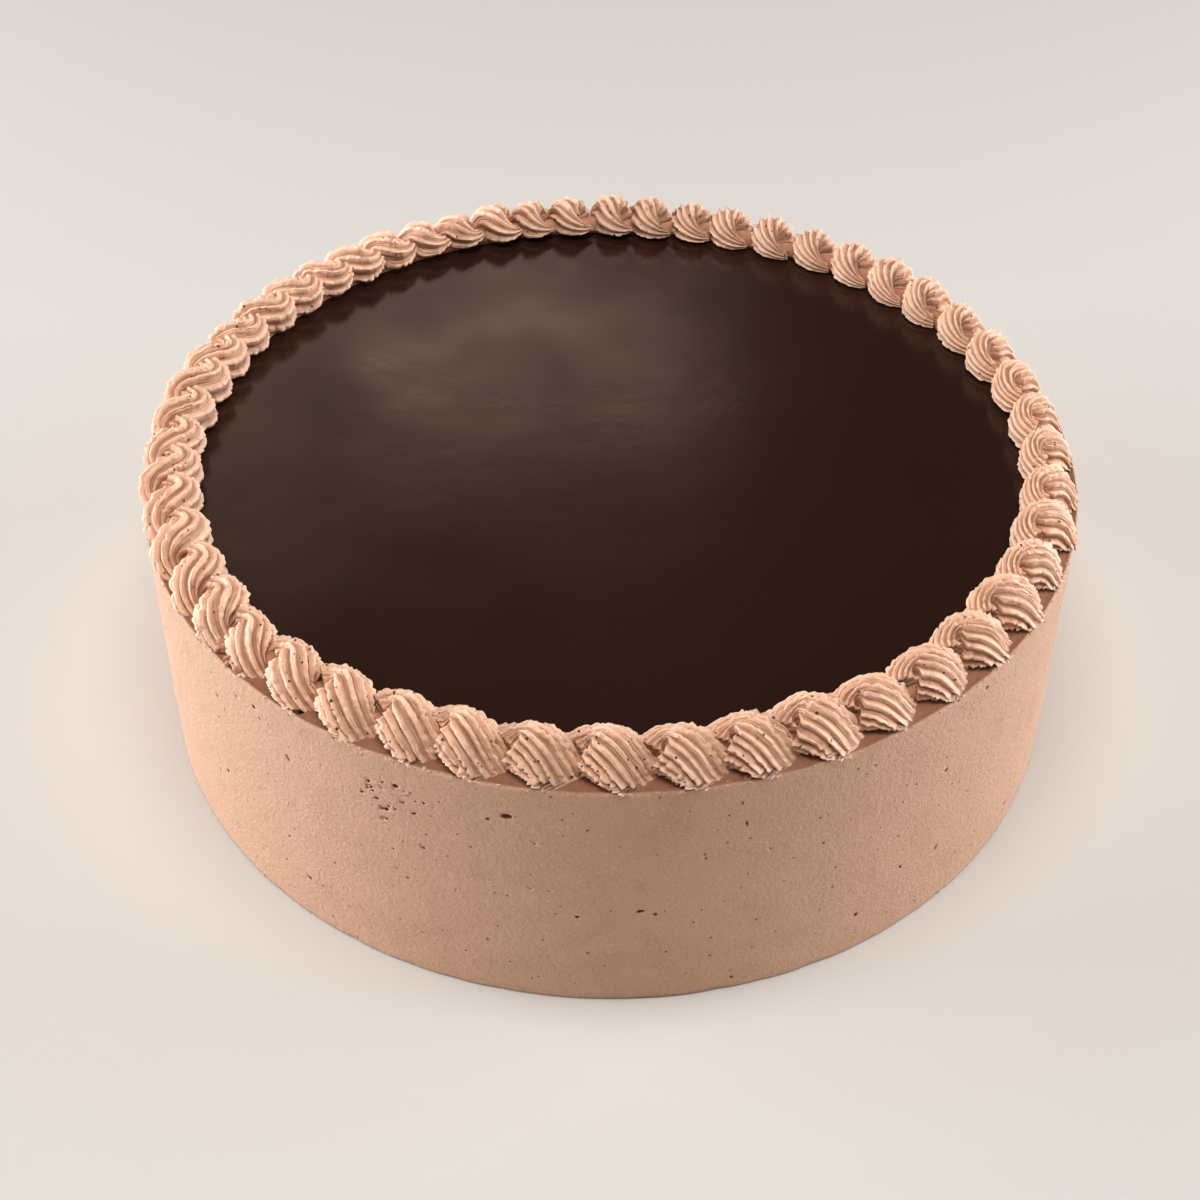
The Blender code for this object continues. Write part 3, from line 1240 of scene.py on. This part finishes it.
    def section(self, shell: Shell, along: np.ndarray, chance: np.random.Generator) -> tuple[np.ndarray, ...]:
        """Shapes the ridges that the nozzle draws.

        Args:
            shell: The shell's plan.
            along: How far along the strand each station is.
            chance: Where random numbers come from.

        Returns:
            How far across the strand each column of points is, how much of a ridge each point is on, and how
            far out each point is, as a share of the smooth strand's.
        """
        ridges = round(shell.mix(self.ridges))
        across = np.linspace(0, 1, ridges * self.per_ridge + 1)[None, :]
        warped = across
        for size, over, down in self.ridge_wander:
            warped = warped + size * np.sin(math.tau * (across * over + along * down + chance.uniform()))
        phase = math.pi * ridges * warped
        pointed = 1 - np.abs(np.cos(phase))
        ridge = self.ridge_roundness * np.abs(np.sin(phase)) + (1 - self.ridge_roundness) * pointed
        rough = chance.normal(0, 1, (self.stations, ridges + 1))
        rough = (rough + np.roll(rough, 1, axis=0) * 0.7) / 1.2
        torn = chance.uniform(0, 1, rough.shape) < self.torn_chance
        tears = self.rough * rough + np.where(torn, -chance.uniform(*self.torn_depth, rough.shape), 0.0)
        number = np.linspace(0, ridges, ridge.shape[1]).astype(int)
        swell = 1 - shell.mix(self.ridge_depth) * (1 - ridge) + tears[:, number] * ridge
        return across, ridge, swell

    def strand(self, shell: Shell) -> tuple[np.ndarray, np.ndarray, np.ndarray]:
        """Shapes one shell.

        Args:
            shell: The shell's plan.

        Returns:
            Its grid of points, for a shell standing at azimuth 0, how much of a ridge each point is on, and
            where each point lies along and across the strand.
        """
        chance = np.random.default_rng(1000 + shell.number)
        path = self.path(shell)
        along = path.along
        across, ridge, swell = self.section(shell, along, chance)
        width, height = (
            blend(shell.mix(start), 1.0, along / 0.5) * blend(1.0, shell.mix(nose), (along - 0.5) / 0.5)
            for start, nose in ((self.start_width, self.nose_width), (self.start_height, self.nose_height))
        )
        fold_from, nose_lift = shell.mix(self.fold_from), shell.mix(self.nose_lift)
        folded = eased((along - fold_from) / (1 - fold_from))
        lift = shell.mix(self.start_lift) * (1 - eased(along / self.tail_share)) + nose_lift * folded
        crest = (self.crest + self.crest_per_pitch * shell.pitch) * shell.size * height - lift
        fold = (math.pi / 2 + math.asin(nose_lift / crest.min())) * folded

        angle = -self.undercut + (math.pi + 2 * self.undercut) * across
        side = shell.mix(self.half_width) * shell.pitch * width * np.cos(angle) * swell
        limit = self.core / np.maximum(np.abs(path.turn), 1e-6)
        side = np.where(side * path.turn > 0, np.sign(side) * limit * np.tanh(np.abs(side) / limit), side)
        rise = crest * (np.sin(angle) * swell + math.sin(self.undercut)) / (1 + math.sin(self.undercut))
        rise = np.maximum(rise, 0.0)
        level = np.maximum(rise * np.cos(fold) + lift, 0.0)
        ridges = round(shell.mix(self.ridges))
        ragged = 1 + self.ragged_nose * chance.normal(0, 1, ridges + 1)[(across * ridges).astype(int)]
        at_nose = (along - self.ragged_from) / (1 - self.ragged_from)
        ahead = rise * np.sin(fold) * shell.mix(self.nose_reach) * blend(1.0, ragged, at_nose)

        forward = path.forward - side * np.sin(path.heading) + ahead * np.cos(path.heading)
        outward = path.outward + side * np.cos(path.heading) + ahead * np.sin(path.heading)
        middle = (outward.max() + outward.min()) / 2
        spread = outward.max() - outward.min()
        nose_at = forward[outward - middle > self.nose_from * spread].mean()
        place = shell.azimuth - shell.even_azimuth + (forward - nose_at) / self.radius
        reach = self.radius + (outward - middle) * self.band * shell.size / spread
        points = np.stack([reach * np.cos(place), reach * np.sin(place), self.base + level], axis=-1)
        drawn = (along * path.length, across * self.girth * path.length, float(shell.number))
        return points, np.broadcast_to(ridge, level.shape), np.stack(np.broadcast_arrays(*drawn), axis=-1)

    def shell_mesh(self, name: str, shell: Shell, into: bpy.types.Collection) -> None:
        """Makes one closed shell at azimuth 0 in a collection.

        Args:
            name: Name of the mesh. The ring takes its shells in the order of their names.
            shell: The shell's plan.
            into: The collection.
        """
        points, ridge, drawn = self.strand(shell)
        rows, columns, _ = points.shape
        faces = [tuple(face[::-1]) for face in grid_faces(rows, columns)]
        faces.append(tuple(range(columns)))
        faces.append(tuple(reversed(range((rows - 1) * columns, rows * columns))))
        item = mesh_object(name, points.reshape(-1, 3), faces)
        mark(item, Mark.CREST, ridge)
        mark(item, Mark.STRAND, drawn)
        bpy.context.scene.collection.objects.unlink(item)
        into.objects.link(item)

    def ring_tree(self) -> bpy.types.NodeTree:
        """Builds the node tree that stands the shells round the ring, each at its own uneven place.

        Returns:
            The tree.
        """
        tree, given = start_tree("shells_round_the_ring", {
            "Shells": "NodeSocketCollection", "First Shell": 0, "Shell Count": 1,
            "Shells Round Cake": self.count, "First Azimuth": self.first, "Wide Side": self.wide_side,
            "Swing": self.swing, "Material": "NodeSocketMaterial",
        })
        points = add_node(tree, "GeometryNodePoints", {}, {"Count": given["Shell Count"]})
        index = add_node(tree, "GeometryNodeInputIndex").outputs[0]
        number = add_node(tree, "ShaderNodeMath", {"operation": "ADD"}, {0: index, 1: given["First Shell"]})
        share = add_node(tree, "ShaderNodeMath", {"operation": "DIVIDE"}, {
            0: number.outputs[0], 1: given["Shells Round Cake"],
        })
        even = add_node(tree, "ShaderNodeMath", {"operation": "MULTIPLY_ADD"}, {
            0: share.outputs[0], 1: math.tau, 2: given["First Azimuth"],
        })
        from_wide = add_node(tree, "ShaderNodeMath", {"operation": "SUBTRACT"}, {
            0: even.outputs[0], 1: given["Wide Side"],
        })
        sway = add_node(tree, "ShaderNodeMath", {"operation": "SINE"}, {0: from_wide.outputs[0]})
        azimuth = add_node(tree, "ShaderNodeMath", {"operation": "MULTIPLY_ADD"}, {
            0: sway.outputs[0], 1: given["Swing"], 2: even.outputs[0],
        })
        turn = add_node(tree, "ShaderNodeCombineXYZ", {}, {"Z": azimuth.outputs[0]})
        shells = add_node(tree, "GeometryNodeCollectionInfo", {}, {
            "Collection": given["Shells"], "Separate Children": True, "Reset Children": True,
        })
        stood = add_node(tree, "GeometryNodeInstanceOnPoints", {}, {
            "Points": points.outputs[0], "Instance": shells.outputs[0], "Pick Instance": True,
            "Instance Index": index, "Rotation": turn.outputs[0],
        })
        end_tree(tree, stood.outputs["Instances"], given["Material"])
        return tree

    def bed(self) -> bpy.types.Object:
        """Builds the low strip of cream that the shells' tails leave under the border.

        Returns:
            The strip.
        """
        azimuth = np.arange(self.bed_columns) / self.bed_columns * math.tau
        angle = np.linspace(-math.pi, math.pi, self.bed_rows + 1)[:-1][:, None]
        uneven = 1 + 0.10 * waves(azimuth[None, :], angle * 0, 0.020, 31)
        reach = self.bed_radius + self.bed_half_width * uneven * np.cos(angle)
        level = self.base + 0.0003 + self.bed_height * uneven * np.maximum(np.sin(angle), 0.0)
        points = np.stack([reach * np.cos(azimuth), reach * np.sin(azimuth), level], axis=-1)
        faces = grid_faces(self.bed_rows, self.bed_columns, looped=True)[:, [0, 3, 2, 1]]
        return mesh_object("piped_bed", points.reshape(-1, 3), faces)

    def quarter(
        self,
        name: str,
        tree: bpy.types.NodeTree,
        first: int,
        shells: Sequence[Shell],
        material: bpy.types.Material,
    ) -> bpy.types.Object:
        """Builds a quarter of the border.

        Args:
            name: Name of the piece.
            tree: The node tree that stands the shells round the ring.
            first: Number of its first shell.
            shells: The plans of its shells.
            material: The finish of the piped cream.

        Returns:
            The piece, as a plain mesh.
        """
        kinds = bpy.data.collections.new(f"{name}_kinds")
        for place, shell in enumerate(shells):
            self.shell_mesh(f"kind_{place:02d}", shell, kinds)
        values = {"Shells": kinds, "First Shell": first, "Shell Count": len(shells), "Material": material}
        piece = grow(name, tree, values)
        for item in list(kinds.objects):
            bpy.data.objects.remove(item, do_unlink=True)
        bpy.data.collections.remove(kinds)
        return piece

    def build(self, material: bpy.types.Material) -> None:
        """Builds the border in four pieces, and the bed under it, and dresses them.

        Args:
            material: The finish of the piped cream.
        """
        tree = self.ring_tree()
        plan = self.plan()
        stands_for = ("piped_border",)
        for name, (first, stop) in self.quarters.items():
            shells = [plan[number % self.count] for number in range(first, stop)]
            dress(self.quarter(name, tree, first, shells, material), material, Slot.BORDER, *stands_for)
            stands_for = ()
        dress(self.bed(), material, Slot.BORDER)


@dataclass
class Crumbs:
    """Little torn flakes of buttercream that lie along an edge of the cake.

    Attributes:
        name: Name of the piece.
        slot: Its material slot.
        count: How many flakes.
        reach: Least and greatest distance from the axis.
        level: Least and greatest height.
        size: Least and greatest half length of a flake.
        sector: First and last azimuth, in radians.
        flatness: Thickness of a flake as a share of its length.
        slimness: Width of a flake as a share of its length.
        tilt: How far a flake leans, at most, in radians.
        seed: Seed of the draws.
    """

    name: str
    slot: Slot
    count: int
    reach: Pair
    level: Pair
    size: Pair
    sector: Pair = (0.0, math.tau)
    flatness: float = 0.45
    slimness: float = 0.6
    tilt: float = 0.4
    seed: int = 3

    def tree(self) -> bpy.types.NodeTree:
        """Builds the node tree that scatters flakes in a band round the axis.

        Returns:
            The tree.
        """
        ranges = {"Azimuth": self.sector, "Reach": self.reach, "Level": self.level, "Size": self.size}
        ends = {f"{name} From": pair[0] for name, pair in ranges.items()}
        ends.update({f"{name} To": pair[1] for name, pair in ranges.items()})
        tree, given = start_tree("flakes_round_an_edge", {
            "Count": self.count, "Seed": self.seed, **ends, "Flatness": self.flatness,
            "Slimness": self.slimness, "Material": "NodeSocketMaterial",
        })
        drawn = {}
        for number, name in enumerate(ranges):
            seed = add_node(tree, "ShaderNodeMath", {"operation": "ADD"}, {
                0: given["Seed"], 1: float(number),
            })
            draw = add_node(tree, "FunctionNodeRandomValue", {"data_type": "FLOAT"}, {
                2: given[f"{name} From"], 3: given[f"{name} To"], "Seed": seed.outputs[0],
            })
            drawn[name] = draw.outputs[1]
        across = add_node(tree, "ShaderNodeCombineXYZ", {}, {"X": drawn["Reach"], "Z": drawn["Level"]})
        around = add_node(tree, "ShaderNodeVectorRotate", {"rotation_type": "Z_AXIS"}, {
            "Vector": across.outputs[0], "Angle": drawn["Azimuth"],
        })
        points = add_node(tree, "GeometryNodePoints", {}, {
            "Count": given["Count"], "Position": around.outputs[0],
        })
        turn = add_node(tree, "FunctionNodeRandomValue", {"data_type": "FLOAT_VECTOR"}, {
            0: (-self.tilt, -self.tilt, 0.0), 1: (self.tilt, self.tilt, math.tau), "Seed": 31,
        })
        width, height = (
            add_node(tree, "ShaderNodeMath", {"operation": "MULTIPLY"}, {0: drawn["Size"], 1: given[name]})
            for name in ("Slimness", "Flatness")
        )
        scale = add_node(tree, "ShaderNodeCombineXYZ", {}, {
            "X": drawn["Size"], "Y": width.outputs[0], "Z": height.outputs[0],
        })
        flake = add_node(tree, "GeometryNodeMeshIcoSphere", {}, {"Radius": 1.0, "Subdivisions": 2})
        placed = add_node(tree, "GeometryNodeInstanceOnPoints", {}, {
            "Points": points.outputs[0], "Instance": flake.outputs["Mesh"],
            "Rotation": turn.outputs[0], "Scale": scale.outputs[0],
        })
        end_tree(tree, placed.outputs["Instances"], given["Material"])
        return tree

    def build(self, material: bpy.types.Material) -> None:
        """Builds the flakes as one plain mesh and dresses it.

        Args:
            material: The finish of the flakes.
        """
        item = grow(self.name, self.tree(), {"Material": material})
        item.data.shade_smooth()
        dress(item, material, self.slot)


@dataclass(frozen=True)
class Lamp:
    """A soft rectangular light that faces the cake.

    Attributes:
        name: Its name.
        place: Where it hangs.
        size: Its width and height.
        power: Its power in watts.
        colour: Its colour.
    """

    name: str
    place: tuple[float, float, float]
    size: Pair
    power: float
    colour: str

    def hang(self) -> None:
        """Hangs the light."""
        data = bpy.data.lights.new(self.name, "AREA")
        data.shape = "RECTANGLE"
        data.size, data.size_y = self.size
        data.energy = self.power
        data.color = linear(self.colour)[:3]
        item = add_object(self.name, data)
        item.location = self.place
        item.rotation_euler = (Vector((0, 0, 0.05)) - Vector(self.place)).to_track_quat("-Z", "Y").to_euler()


@dataclass
class Studio:
    """A plain pale floor, soft light and the camera at the photograph's angle.

    The glaze mirrors the three faint glows behind the cake, and the two side panels light the shells.

    Attributes:
        elevation: How far the camera looks down, in degrees.
        distance: From the target to the camera.
        roll: Turn of the camera about its own axis, in degrees.
        target: The point that the camera looks at.
        lens: Focal length in millimetres on a sensor 36 mm wide.
        floor_reach: Half the floor's width.
    """

    elevation: float = 41.995
    distance: float = 0.53362
    roll: float = 0.17552
    target: tuple[float, float, float] = (-0.002669, 0.0, 0.019511)
    lens: float = 57.42
    floor_reach: float = 3.0
    floor_colour: str = "#cbc8c4"
    floor_roughness: float = 0.85
    sky_colour: str = "#fff0e4"
    sky_strength: float = 0.10
    lamps: Sequence[Lamp] = (
        Lamp("overhead_panel", (0.0, -0.27, 1.60), (1.0, 0.8), 21.5, "#fffaf6"),
        Lamp("front_fill", (0.0, -1.20, 1.40), (0.8, 0.5), 1.9, "#fff2e8"),
        Lamp("left_panel", (-1.25, 0.10, 0.22), (0.9, 0.36), 23.2, "#f6fbff"),
        Lamp("right_panel", (1.25, 0.20, 0.26), (0.8, 0.40), 17.8, "#f6fbff"),
        Lamp("back_glow", (-0.62, 1.50, 1.08), (1.3, 0.18), 1.10, "#ffe9da"),
        Lamp("back_panel", (-0.08, 1.50, 1.08), (0.42, 0.10), 0.75, "#ffe9da"),
        Lamp("left_glow", (-0.50, 1.45, 1.23), (0.34, 0.26), 0.38, "#ffe9da"),
    )

    def camera(self) -> None:
        """Sets up the camera."""
        tilt = math.radians(self.elevation)
        target = Vector(self.target)
        eye = target + Vector((0, -math.cos(tilt), math.sin(tilt))) * self.distance
        data = bpy.data.cameras.new("camera")
        data.lens = self.lens
        data.sensor_width = 36.0
        data.clip_start = 0.01
        item = add_object("camera", data)
        looking = (target - eye).to_track_quat("-Z", "Y").to_matrix()
        rolled = looking @ Matrix.Rotation(math.radians(self.roll), 3, "Z")
        item.matrix_world = Matrix.Translation(eye) @ rolled.to_4x4()
        bpy.context.scene.camera = item

    def floor(self) -> None:
        """Lays the floor."""
        reach = self.floor_reach
        corners = np.array([[-reach, -reach, 0], [reach, -reach, 0], [reach, reach, 0], [-reach, reach, 0]])
        item = mesh_object("studio_floor", corners, [(0, 1, 2, 3)])
        material = bpy.data.materials.new("matt_pale_floor")
        material.use_nodes = True
        shader = material.node_tree.nodes["Principled BSDF"]
        shader.inputs["Base Color"].default_value = linear(self.floor_colour)
        shader.inputs["Roughness"].default_value = self.floor_roughness
        item.data.materials.append(material)

    def sky(self) -> None:
        """Fills the room with faint soft light."""
        world = bpy.data.worlds.new("soft_room")
        world.use_nodes = True
        background = world.node_tree.nodes["Background"]
        background.inputs["Color"].default_value = linear(self.sky_colour)
        background.inputs["Strength"].default_value = self.sky_strength
        bpy.context.scene.world = world

    def build(self) -> None:
        """Sets up the whole studio."""
        self.camera()
        self.floor()
        for lamp in self.lamps:
            lamp.hang()
        self.sky()
        bpy.context.scene.view_settings.view_transform = "Standard"


def main() -> None:
    """Builds the cake's pieces in order, then the studio."""
    logging.basicConfig(level=logging.INFO, format="%(name)s: %(message)s")
    smooth = SmoothedButtercream().material()
    piped = PipedButtercream().material()
    ganache = PouredGanache().material()
    CoatedCake().build(smooth)
    GanacheTop().build(ganache)
    PipedBorder().build(piped)
    Crumbs(
        "foot_flakes", Slot.COAT, 420, reach=(0.1196, 0.1205), level=(0.0008, 0.0012), size=(0.0003, 0.0008),
    ).build(smooth)
    Crumbs(
        "rim_flakes", Slot.COAT, 420, reach=(0.1193, 0.1198), level=(0.0709, 0.0713),
        size=(0.00015, 0.00060), seed=8,
    ).build(smooth)
    Crumbs(
        "stray_cream", Slot.BORDER, 16, reach=(0.1166, 0.1190), level=(0.0716, 0.0734),
        size=(0.0007, 0.0017), sector=(math.radians(219.0), math.radians(224.5)), flatness=0.7, seed=12,
    ).build(piped)
    Studio().build()


if __name__ == "__main__":
    main()
